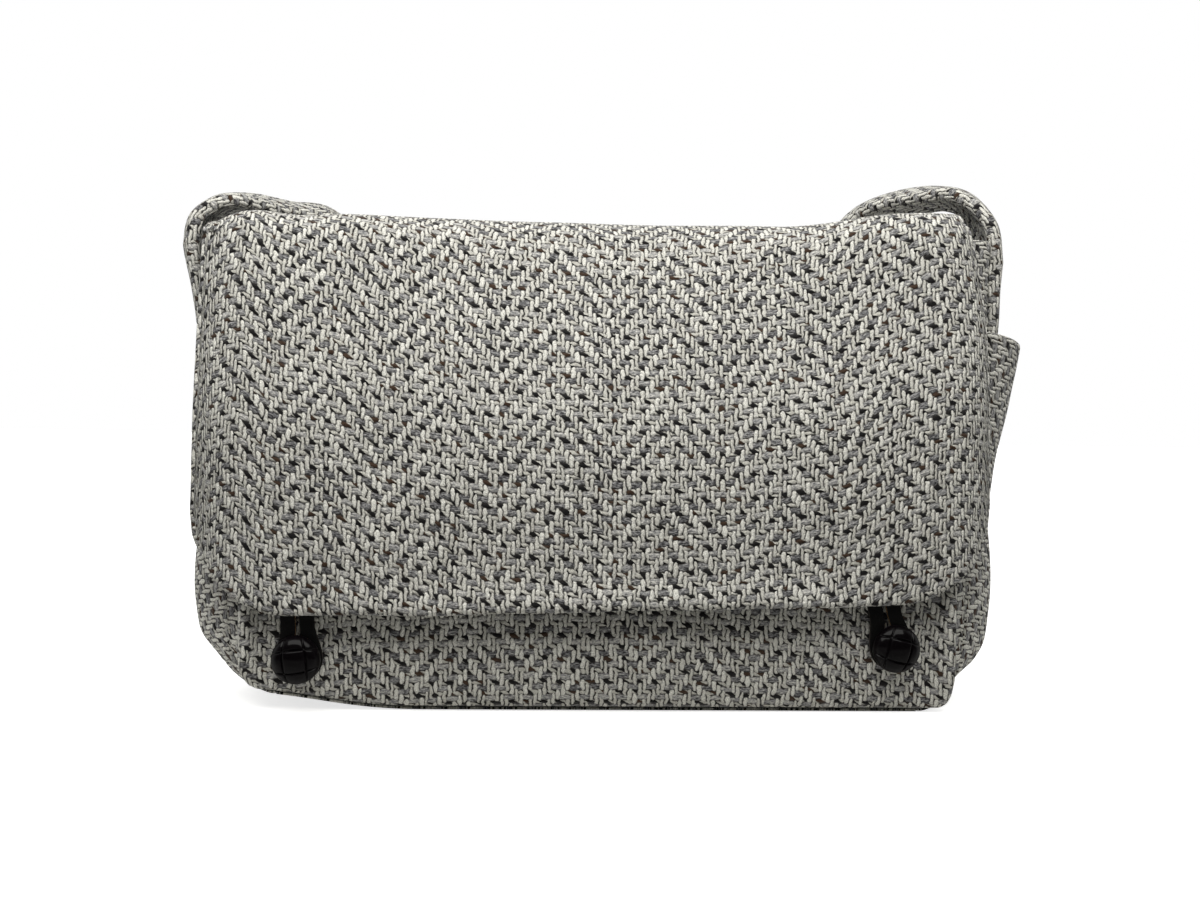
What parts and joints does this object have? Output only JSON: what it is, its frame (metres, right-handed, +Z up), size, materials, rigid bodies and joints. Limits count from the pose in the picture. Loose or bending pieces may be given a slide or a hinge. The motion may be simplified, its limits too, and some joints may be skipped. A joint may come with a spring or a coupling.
{
  "type": "satchel",
  "caption": "Soft herringbone tweed satchel with a lined flap, loop-and-button closures, swelling gussets with pockets and a shoulder strap.",
  "frame": {"origin": "middle of the flat base, on the floor", "axes": "+X to the bag's right as seen from the front, +Y to its back, +Z up"},
  "size_m": [0.377, 0.1435, 0.2365],
  "materials": {
    "tweed": "herringbone wool",
    "lining": "plain weave",
    "board": "plain",
    "loop_leather": "smooth",
    "button_leather": "polished",
    "thread": "waxed"
  },
  "bodies": {
    "bag": {"front_panel": "tweed", "back_panel": "tweed", "base_panel": "tweed", "left_gusset": "tweed", "left_pocket": "tweed", "left_strap_end": "tweed", "right_gusset": "tweed", "right_pocket": "tweed", "right_strap_end": "tweed", "front_lining": "lining", "back_lining": "lining", "base_lining": "lining", "left_gusset_lining": "lining", "right_gusset_lining": "lining", "base_board": "board", "left_button_head": "button_leather", "right_button_head": "button_leather", "left_button_shank": "button_leather", "right_button_shank": "button_leather", "left_button_thread": "thread", "right_button_thread": "thread"},
    "flap": {"flap_panel": "tweed", "flap_lining": "lining", "left_loop": "loop_leather", "right_loop": "loop_leather"},
    "strap": {"shoulder_strap": "tweed"}
  },
  "joints": [
    {"name": "flap_hinge", "type": "hinge", "parent": "bag", "child": "flap", "pos_m": [0, 0.03397, 0.2115], "axis": [-1, 0, 0], "range_deg": [0, 90], "deforming": ["left_loop", "right_loop"]},
    {"name": "strap_swing", "type": "hinge", "parent": "bag", "child": "strap", "pos_m": [0, 0.069, 0.18], "axis": [1, 0, 0], "range_deg": [0, 90], "deforming": ["left_strap_end", "right_strap_end"]}
  ]
}
